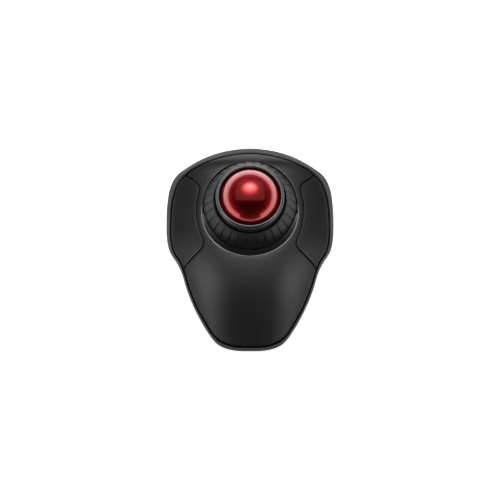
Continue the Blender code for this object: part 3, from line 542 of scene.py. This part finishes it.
# ---------------------------------------------------------------- case
WALL_COLUMNS = 440
FLOOR_TOP, DOOR_TOP = 3.2, 2.6
FOOT_LENGTH, FOOT_WIDTH, POCKET_ROOM, POCKET_TOP = 16, 6, 0.6, 1.8
SCREW_BORE, CUP_SCREW_BORE, PAIRING_BORE = 2.7, 2.3, 2.8  # radii
BOSS_RADIUS, BOSS_BORE, BOSS_TOP = 3.4, 1.4, 8.0
CONTROL_FACE, FLANGE_BOTTOM, FLANGE_TOP = 1.5, 3.5, 4.6  # heights of the small controls
SLIDER_PLACE, PAIRING_PLACE, GRIP_PLACE = (-25.0, 8.0), (25.0, 8.0), (0.0, -75.5)
CASE_SCREWS = ((30.0, 29.0), (-30.0, 29.0), (34.7, -58.0), (-34.7, -58.0))
CUP_SCREWS = [(17 * math.cos(math.radians(a)), 17 * math.sin(math.radians(a))) for a in (35, 145, 270)]
FEET = {"foot_far_left": (-35.0, 22.0), "foot_far_right": (35.0, 22.0), "foot_mid_left": (-43.0, -24.0),
        "foot_mid_right": (43.0, -24.0), "foot_near": (0.0, -87.5)}


def door_corners(grow):
    """The battery door: square at the hinge end, tapering to the latch end."""
    half, near_half = 28.4 + grow, 12.0 + grow
    return [(-half, -34.0 + grow), (-half, -67.0), (-near_half, -81.2 - grow),
            (near_half, -81.2 - grow), (half, -67.0), (half, -34.0 + grow)]


def sunk(bm, loop, face, end, radius):
    """The wall of an opening in a face that looks down: its rim on the face, and its far ring."""
    rings = rounded_edge(bm, loop, -1, level(face), radius, -1)
    rings.append(verts(bm, loop, end))
    strips(bm, rings)
    return rings[0], rings[-1]


def make_case():
    """The lower shell: a tray whose leaning wall rolls over into a lip beside the cover."""
    widest, seam = whole(OUTLINE, WALL_COLUMNS), whole(SEAM, WALL_COLUMNS)
    out = -inward(seam)

    def flat_loop(z, lean, shrink):
        found = widest * (1 - lean) + seam * lean
        found = (found + (0, AXIS_Y)) * shrink - (0, AXIS_Y)
        return np.column_stack([found, np.full(len(found), z)])

    def near_top(offset, lift, lean=0.0):
        found = (seam + out * offset) * (1 - lean) + widest * lean
        return np.column_stack([found, top_height(found[:, 0], found[:, 1]) + lift])

    shoulder = near_top(0.5, -1.1, lean=0.2)
    middle = (flat_loop(4.2, -0.02, 1.0) + shoulder) / 2
    wall = [flat_loop(CASE_BOTTOM, 0, 0.966), flat_loop(CASE_BOTTOM + 0.12, 0, 0.974),
            flat_loop(2.0, 0, 0.988), flat_loop(4.2, 0, 1.0), middle, shoulder]
    lip_radius = 0.3
    lip = []
    for k in range(7):
        turn = math.radians(25 + 155 * k / 6)
        offset = -CASE_INSET + lip_radius * (1 + math.cos(turn))
        lip.append(near_top(offset, -lip_radius * (1 - math.sin(turn)) - 0.08))
    wall.append(lip[0])
    wall = np.array(wall)
    smooth_wall = spline(wall.reshape(len(wall), -1), closed=False, steps=5)
    levels = list(smooth_wall.reshape(len(smooth_wall), -1, 3)) + lip[1:]
    levels += [near_top(-CASE_INSET, -1.6), near_top(0.3, -4.0), flat_loop(FLOOR_TOP, 0.55, 0.985)]
    bm = new_mesh()
    lip_level = len(smooth_wall)
    rings = []
    for k, points in enumerate(levels):
        worn = 0.8 if lip_level - 2 <= k < lip_level + 4 else 0.0
        rings.append(verts(bm, points[:, :2], points[:, 2], worn=worn))
    strips(bm, rings)
    below, above = [rings[0]], [rings[-1]]
    through = [polygon(door_corners(0.4), 0.8), stadium(10.4, 4.4, SLIDER_PLACE),
               circle(PAIRING_BORE, PAIRING_PLACE)]
    through += [circle(SCREW_BORE, place_at) for place_at in CASE_SCREWS]
    through += [circle(CUP_SCREW_BORE, place_at, count=36) for place_at in CUP_SCREWS]
    for loop in through:
        rim, end = sunk(bm, loop, CASE_BOTTOM, FLOOR_TOP, 0.25)
        below.append(rim)
        above.append(end)
    for place_at in FEET.values():
        pocket = stadium(FOOT_LENGTH + POCKET_ROOM, FOOT_WIDTH + POCKET_ROOM, place_at)
        rim, end = sunk(bm, pocket, CASE_BOTTOM, POCKET_TOP, 0.2)
        below.append(rim)
        fill(bm, [end], 2.0, level(POCKET_TOP))
    fill(bm, below, 8.0, level(CASE_BOTTOM))
    fill(bm, above, 8.0, level(FLOOR_TOP))
    for place_at in CASE_SCREWS:
        boss = [(BOSS_RADIUS, FLOOR_TOP), (BOSS_RADIUS, BOSS_TOP),
                (BOSS_BORE, BOSS_TOP), (BOSS_BORE, FLOOR_TOP + 0.2)]
        lathe(bm, boss, steps=32, centre=place_at)
    piece("case_shell", bm, "body", "case_grey", ["bottom_case"])


# ---------------------------------------------------------------- underside
def make_door():
    """The battery door, with a ribbed finger recess at its latch end."""
    bm = new_mesh()
    outline = polygon(door_corners(0.0), 0.8)
    rings = rounded_edge(bm, outline, 1, level(CASE_BOTTOM), 0.3, -1)
    top = verts(bm, outline, DOOR_TOP)
    strips(bm, rings + [top])
    grip_floor = CASE_BOTTOM + 0.6
    rim, end = sunk(bm, stadium(16, 5, GRIP_PLACE), CASE_BOTTOM, grip_floor, 0.2)
    fill(bm, [rings[0], rim], 3.0, level(CASE_BOTTOM))
    fill(bm, [end], 1.5, level(grip_floor))
    fill(bm, [top], 6.0, level(DOOR_TOP))
    for k in range(-2, 3):
        rib = stadium(4.0, 0.7, steps=6)[::-1, ::-1] + (k * 2.4, GRIP_PLACE[1])
        skin(bm, rib, level(CASE_BOTTOM + 0.15), 0.55, 0.2, 1.0, down=-1)
    piece("battery_door_panel", bm, "battery_door", "case_grey", ["battery_door"])


def make_feet():
    for name, place_at in FEET.items():
        bm = new_mesh()
        skin(bm, stadium(FOOT_LENGTH, FOOT_WIDTH, place_at), level(0.0), 1.5, 0.45, 1.5, down=-1)
        piece(f"{name}_pad", bm, "body", "foot_rubber", [name])


def make_small_controls():
    """The ribbed mode slider and the dished pairing button, each with the flange that keeps it in."""
    x, y = SLIDER_PLACE
    bm = new_mesh()
    thumb = stadium(5.2, 3.6, SLIDER_PLACE)
    rings = rounded_edge(bm, thumb, 1, level(CONTROL_FACE), 0.3, -1)
    rims = [rings[0]]
    groove_top = CONTROL_FACE + 0.45
    for k in (-1, 0, 1):
        groove = stadium(2.4, 0.5, steps=6)[::-1, ::-1] + (x + 1.2 * k, y)
        rim, end = sunk(bm, groove, CONTROL_FACE, groove_top, 0.06)
        rims.append(rim)
        fill(bm, [end], 1.0, level(groove_top))
    fill(bm, rims, 0.8, level(CONTROL_FACE))
    joint = verts(bm, thumb, FLANGE_BOTTOM)
    flange = stadium(9.6, 6.0, SLIDER_PLACE)
    outer = verts(bm, flange, FLANGE_BOTTOM)
    top = verts(bm, flange, FLANGE_TOP)
    strips(bm, rings + [joint])
    fill(bm, [outer, joint], 1.5, level(FLANGE_BOTTOM))
    strips(bm, [outer, top])
    fill(bm, [top], 1.5, level(FLANGE_TOP))
    piece("mode_slider_thumb", bm, "mode_slider", "slider_grey", ["mode_slider"])

    bm = new_mesh()
    cap = [(0, 1.72), (0.9, 1.68), (1.6, 1.56), (2.0, CONTROL_FACE), (2.25, 1.56), (2.4, 1.75),
           (2.4, FLANGE_BOTTOM), (3.3, FLANGE_BOTTOM), (3.4, 3.6), (3.4, 4.5), (3.3, FLANGE_TOP),
           (0, FLANGE_TOP)]
    lathe(bm, cap, steps=64, centre=PAIRING_PLACE, closed=False, worn=(3, 4))
    piece("pairing_button_cap", bm, "pairing_button", "slider_grey", ["pairing_button"])


# ---------------------------------------------------------------- ring, collar, scoop, ball
RIB_COUNT = 30
GROOVE_PHASE = math.radians(2)
GROOVE_DEPTH = 0.55


def make_ring():
    """The scroll ring: a turned section with narrow grooves pressed into its slope."""
    inner, mouth = 24.6, 24.1
    (high_r, high_z), (low_r, low_z) = start, end = (25.3, RING_TOP - 0.6), (31.1, 25.15)
    fall = (high_z - low_z) / (low_r - high_r)
    # radius, height, share of the groove's depth
    section = [(mouth, RING_TOP - 0.4, 0.0), (mouth + 0.2, RING_TOP - 0.1, 0.0),
               (mouth + 0.5, RING_TOP, 0.0), (mouth + 0.8, RING_TOP - 0.1, 0.0), (*start, 0.0)]
    for along, weight in ((0.05, 0.25), (0.1, 0.8), (0.15, 1.0), (0.32, 1.0), (0.5, 1.0), (0.68, 1.0),
                          (0.85, 1.0), (0.95, 1.0)):
        radius = high_r + (low_r - high_r) * along
        section.append((radius, high_z - fall * (radius - high_r), weight))
    section += [
        (*end, 0.9), (31.35, 24.7, 0.6), (RING_RADIUS, 24.3, 0.3), (RING_RADIUS, 23.8, 0.0),
        (RING_RADIUS, 22.6, 0.0), (31.3, RING_LOW.z + 3.4, 0.0), (30.0, RING_LOW.z + 3.4, 0.0),
        (29.6, 24.2, 0.0), (26.2, 29.2, 0.0), (26.2, RING_LOW.z, 0.0), (inner, RING_LOW.z, 0.0),
        (inner, 31.5, 0.0),
    ]
    half = math.degrees(math.pi / RIB_COUNT)
    offsets = np.array([-half, -4.2, -2.6, -1.7, -1.35, -1.0, -0.7, -0.35, 0,
                        0.35, 0.7, 1.0, 1.35, 1.7, 2.6, 4.2])
    share = np.clip((1.55 - np.abs(offsets)) / 0.9, 0, 1)
    share = share * share * (3 - 2 * share)
    turns = np.concatenate([np.radians(offsets) + math.tau * k / RIB_COUNT for k in range(RIB_COUNT)])
    turns += GROOVE_PHASE
    shares = np.tile(share, RIB_COUNT)
    slope = math.atan(fall)
    bm = new_mesh()
    rings = []
    for r, z, weight in section:
        depth = GROOVE_DEPTH * weight * shares
        radius = r - depth * math.sin(slope)
        rings.append(verts(bm, np.column_stack([radius * np.cos(turns), radius * np.sin(turns)]),
                           z - depth * math.cos(slope)))
    strips(bm, rings + rings[:1])
    piece("scroll_ring_grip", bm, "ring", "ring_rubber", ["scroll_ring"], sharp=50)


def make_collar():
    """The bowl that holds the ball, with the bright lip that stands above the ring."""
    radius, cup_outer = BALL_RADIUS + 0.9, 22.7
    bowl_in = arc((0, BALL_Z), radius, -76, 0, 20)
    bowl_out = arc((0, BALL_Z), cup_outer, -24, -76, 12)
    lip = [(20.25, 39.8), (20.25, 40.9), (20.35, 41.45), (20.6, 41.85), (21.0, 42.1), (21.5, 42.15),
           (22.0, 42.0), (22.45, 41.6), (22.75, 41.0), (22.95, 40.2), (23.05, 39.2), (23.15, 37.8),
           (23.3, 36.4), (23.45, 35.2), (23.9, 32.8), (24.2, 31.4),
           (24.2, 17.8), (26.1, 17.8), (26.1, 16.2), (cup_outer, 16.2), (cup_outer, BALL_Z - 10.0)]
    bm = new_mesh()
    lathe(bm, lip + bowl_out + bowl_in, steps=144, worn=range(2, 8))
    piece("ball_collar", bm, "body", "collar_black", ["ball_cup"])


WELL_BOTTOM, WELL_LEDGE, WELL_WALL = 17.0, 19.6, 0.45
FAR_LIP_Z, FAR_INNER_Z, NEAR_INNER_Z = 21.6, 21.2, 24.3
EDGE_SINK = 0.12  # the scoop's edge and the trim line lie this far below the cover


def make_scoop():
    """The fixed surround: a thin well wall on the far side, a concave scoop on the near side."""
    steps = 300
    bm = new_mesh()
    sections = []
    for k in range(steps):
        angle = math.tau * k / steps
        edge = scoop_radius(angle) - 0.42
        share = min(1.0, max(0.0, (edge - WELL_RADIUS - 0.35) / 0.6))
        lip = max(edge, WELL_RADIUS + WELL_WALL)
        x, y = lip * math.cos(angle), lip * math.sin(angle)
        rim_z = float(top_height(x, y))
        lip_z = FAR_LIP_Z + share * (rim_z - EDGE_SINK - FAR_LIP_Z)
        inner_z = FAR_INNER_Z + share * (NEAR_INNER_Z - FAR_INNER_Z)
        profile = [(WELL_RADIUS, WELL_BOTTOM), (WELL_RADIUS, inner_z - 0.3)]
        for s in (0.0, 0.15, 0.3, 0.45, 0.6, 0.75, 0.88, 0.96, 1.0):
            radial = WELL_RADIUS + 0.12 + (lip - WELL_RADIUS - 0.12) * s
            profile.append((radial, inner_z + (lip_z - inner_z) * s ** 1.25))
        profile += [(lip, min(lip_z - 0.9, rim_z - 3.0)), (WELL_RADIUS + WELL_WALL, WELL_LEDGE),
                    (WELL_RADIUS + WELL_WALL, WELL_BOTTOM)]
        sections.append([bm.verts.new((r * math.cos(angle), r * math.sin(angle), z))
                         for r, z in profile])
    strips(bm, sections + sections[:1])
    piece("scoop", bm, "body", "cover_black", ["ring_surround"], sharp=50)


def make_trim():
    """The bright line along the scoop's edge, tapering away beside the ring."""
    end, count = math.radians(1), 160
    curve = bpy.data.curves.new("trim_line", "CURVE")
    curve.dimensions = "3D"
    curve.bevel_depth = 0.36 * MM
    curve.bevel_resolution = 4
    curve.use_fill_caps = True
    line = curve.splines.new("POLY")
    line.points.add(count)
    for k, point in enumerate(line.points):
        share = k / count
        angle = -math.pi - end + (math.pi + 2 * end) * share
        radius = float(scoop_radius(angle))
        x, y = radius * math.cos(angle), radius * math.sin(angle)
        point.co = (x * MM, (y + AXIS_Y) * MM, (float(top_height(x, y)) - EDGE_SINK) * MM, 1)
        point.radius = min(1.0, 0.35 + 8 * min(share, 1 - share))
    obj = bpy.data.objects.new("trim_line", curve)
    bpy.context.scene.collection.objects.link(obj)
    curve.materials.append(MATERIALS["trim_grey"])
    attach(obj, "body")
    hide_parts("trim_crescent")


def make_ball():
    bm = new_mesh()
    bmesh.ops.create_icosphere(bm, subdivisions=6, radius=BALL_RADIUS)
    bmesh.ops.translate(bm, verts=bm.verts, vec=(0, 0, BALL_Z))
    return piece("polished_ball", bm, "ball", "ball_red", ["ball"])


# ---------------------------------------------------------------- floor, lights, camera
CAMERA_PLACE, CAMERA_AIM = Vector((0.0, -0.2388, 0.7322)), Vector((0.0, -0.00576, 0.015))


def area_light(name, place_at, aim, size, brightness, shape="RECTANGLE", fade=0.0, skips=()):
    """A soft light. brightness is the radiance of its face, where the white floor is about 1.

    fade, from 0, is how steeply the brightness falls from the middle of a disc to its edge.
    Pieces in skips get no light from it.
    """
    data = bpy.data.lights.new(name, "AREA")
    data.shape = shape
    data.size, data.size_y = size
    data.energy = brightness * math.pi * size[0] * size[1] * (math.pi / 4 if shape == "ELLIPSE" else 1)
    if fade:
        data.use_nodes = True
        tree = data.node_tree
        link = tree.links.new
        centred = node(tree, "ShaderNodeVectorMath", operation="SUBTRACT")
        link(node(tree, "ShaderNodeNewGeometry").outputs["Parametric"], centred.inputs[0])
        centred.inputs[1].default_value = (0.5, 0.5, 0)
        spread = node(tree, "ShaderNodeVectorMath", operation="LENGTH")
        link(centred.outputs["Vector"], spread.inputs[0])
        left = node(tree, "ShaderNodeMapRange")
        for key, value in (("From Min", 0.5), ("From Max", 0.0), ("To Min", 0.0), ("To Max", 1.0)):
            left.inputs[key].default_value = value
        link(spread.outputs["Value"], left.inputs["Value"])
        power = node(tree, "ShaderNodeMath", operation="POWER")
        power.inputs[1].default_value = fade
        link(left.outputs["Result"], power.inputs[0])
        link(power.outputs["Value"], tree.nodes["Emission"].inputs["Strength"])
    obj = bpy.data.objects.new(name, data)
    obj.location = place_at
    obj.rotation_euler = (Vector(aim) - Vector(place_at)).to_track_quat("-Z", "Y").to_euler()
    bpy.context.scene.collection.objects.link(obj)
    if skips:
        receivers = bpy.data.collections.new(f"{name}_receivers")
        for skipped in skips:
            receivers.objects.link(skipped)
        for member in receivers.collection_objects:
            member.light_linking.link_state = "EXCLUDE"
        obj.light_linking.receiver_collection = receivers
    return obj


def make_stage():
    bm = new_mesh()
    bmesh.ops.create_grid(bm, x_segments=1, y_segments=1, size=6.0)
    mesh = bpy.data.meshes.new("floor")
    bm.to_mesh(mesh)
    bm.free()
    floor = bpy.data.objects.new("floor", mesh)
    bpy.context.scene.collection.objects.link(floor)
    material = bpy.data.materials.new("pale_floor")
    material.use_nodes = True
    shader = material.node_tree.nodes["Principled BSDF"]
    shader.inputs["Base Color"].default_value = (0.9, 0.9, 0.9, 1)
    shader.inputs["Roughness"].default_value = 0.9
    shader.inputs["Specular IOR Level"].default_value = 0.0
    shader.inputs["Emission Color"].default_value = (1, 1, 1, 1)
    shader.inputs["Emission Strength"].default_value = 0.8
    mesh.materials.append(material)


SWEEP_RISE = 0.25  # slope of the pale sweep behind the object


def make_world():
    """Dark studio overhead, and a pale sweep that rises behind the object."""
    world = bpy.data.worlds.new("studio")
    bpy.context.scene.world = world
    world.use_nodes = True
    tree = world.node_tree
    link = tree.links.new
    background = tree.nodes["Background"]
    direction = node(tree, "ShaderNodeTexCoord").outputs["Generated"]
    parts = node(tree, "ShaderNodeSeparateXYZ")
    link(direction, parts.inputs[0])
    behind = node(tree, "ShaderNodeMath", operation="MAXIMUM")
    behind.inputs[1].default_value = 0.0
    link(parts.outputs["Y"], behind.inputs[0])
    rise = node(tree, "ShaderNodeMath", operation="MULTIPLY_ADD")
    rise.inputs[1].default_value = -SWEEP_RISE
    link(behind.outputs["Value"], rise.inputs[0])
    link(parts.outputs["Z"], rise.inputs[2])
    band = node(tree, "ShaderNodeMapRange", interpolation_type="SMOOTHSTEP")
    for key, value in (("From Min", -0.04), ("From Max", 0.04), ("To Min", 0.95), ("To Max", 0.03)):
        band.inputs[key].default_value = value
    link(rise.outputs["Value"], band.inputs["Value"])
    link(band.outputs["Result"], background.inputs["Strength"])


def make_lights(ball):
    """A wide dim panel overhead with a hot centre behind the ball, and a soft box at each side."""
    area_light("overhead", (0, 0.585, 0.75), (0, 0.585, 0), (2.16, 1.77), 0.2)
    area_light("hot_centre", (0, 0.43, 0.74), (0, 0.43, 0), (1.2, 1.1), 8.0, "ELLIPSE", fade=2.4)
    area_light("left_box", (-0.70, -0.22, 0.62), (0, -0.03, 0.02), (0.30, 0.60), 3.3, skips=[ball])
    area_light("right_box", (0.70, -0.22, 0.62), (0, -0.03, 0.02), (0.30, 0.60), 2.9, skips=[ball])


def make_flag():
    """A black card in front of the object, which only its gloss sees."""
    bm = new_mesh()
    bmesh.ops.create_grid(bm, x_segments=1, y_segments=1, size=0.5)
    bmesh.ops.transform(bm, verts=bm.verts, matrix=(
        Matrix.Translation((0, -0.14, 0.08)) @ Matrix.Rotation(math.pi / 2, 4, "X")
        @ Matrix.Diagonal((0.20, 0.16, 1, 1))))
    mesh = bpy.data.meshes.new("flag")
    bm.to_mesh(mesh)
    bm.free()
    flag = bpy.data.objects.new("flag", mesh)
    bpy.context.scene.collection.objects.link(flag)
    material = bpy.data.materials.new("black_card")
    material.use_nodes = True
    shader = material.node_tree.nodes["Principled BSDF"]
    shader.inputs["Base Color"].default_value = (0.01, 0.01, 0.01, 1)
    shader.inputs["Roughness"].default_value = 1.0
    shader.inputs["Specular IOR Level"].default_value = 0.0
    mesh.materials.append(material)
    flag.visible_camera = flag.visible_diffuse = flag.visible_shadow = False
    flag.visible_transmission = False


def make_camera():
    camera = bpy.data.objects.new("camera", bpy.data.cameras.new("camera"))
    camera.data.lens = 80
    camera.data.sensor_width = 36
    camera.location = CAMERA_PLACE
    camera.rotation_euler = (CAMERA_AIM - CAMERA_PLACE).to_track_quat("-Z", "Y").to_euler()
    bpy.context.scene.collection.objects.link(camera)
    bpy.context.scene.camera = camera
    bpy.context.scene.view_settings.view_transform = "Standard"


# ---------------------------------------------------------------- everything
paint_cad_nodes()
make_camera()
make_stage()
make_flag()
make_world()
make_cover()
make_button(-1, "left")
make_button(1, "right")
make_case()
make_door()
make_feet()
make_small_controls()
make_ring()
make_collar()
make_scoop()
make_trim()
make_lights(make_ball())
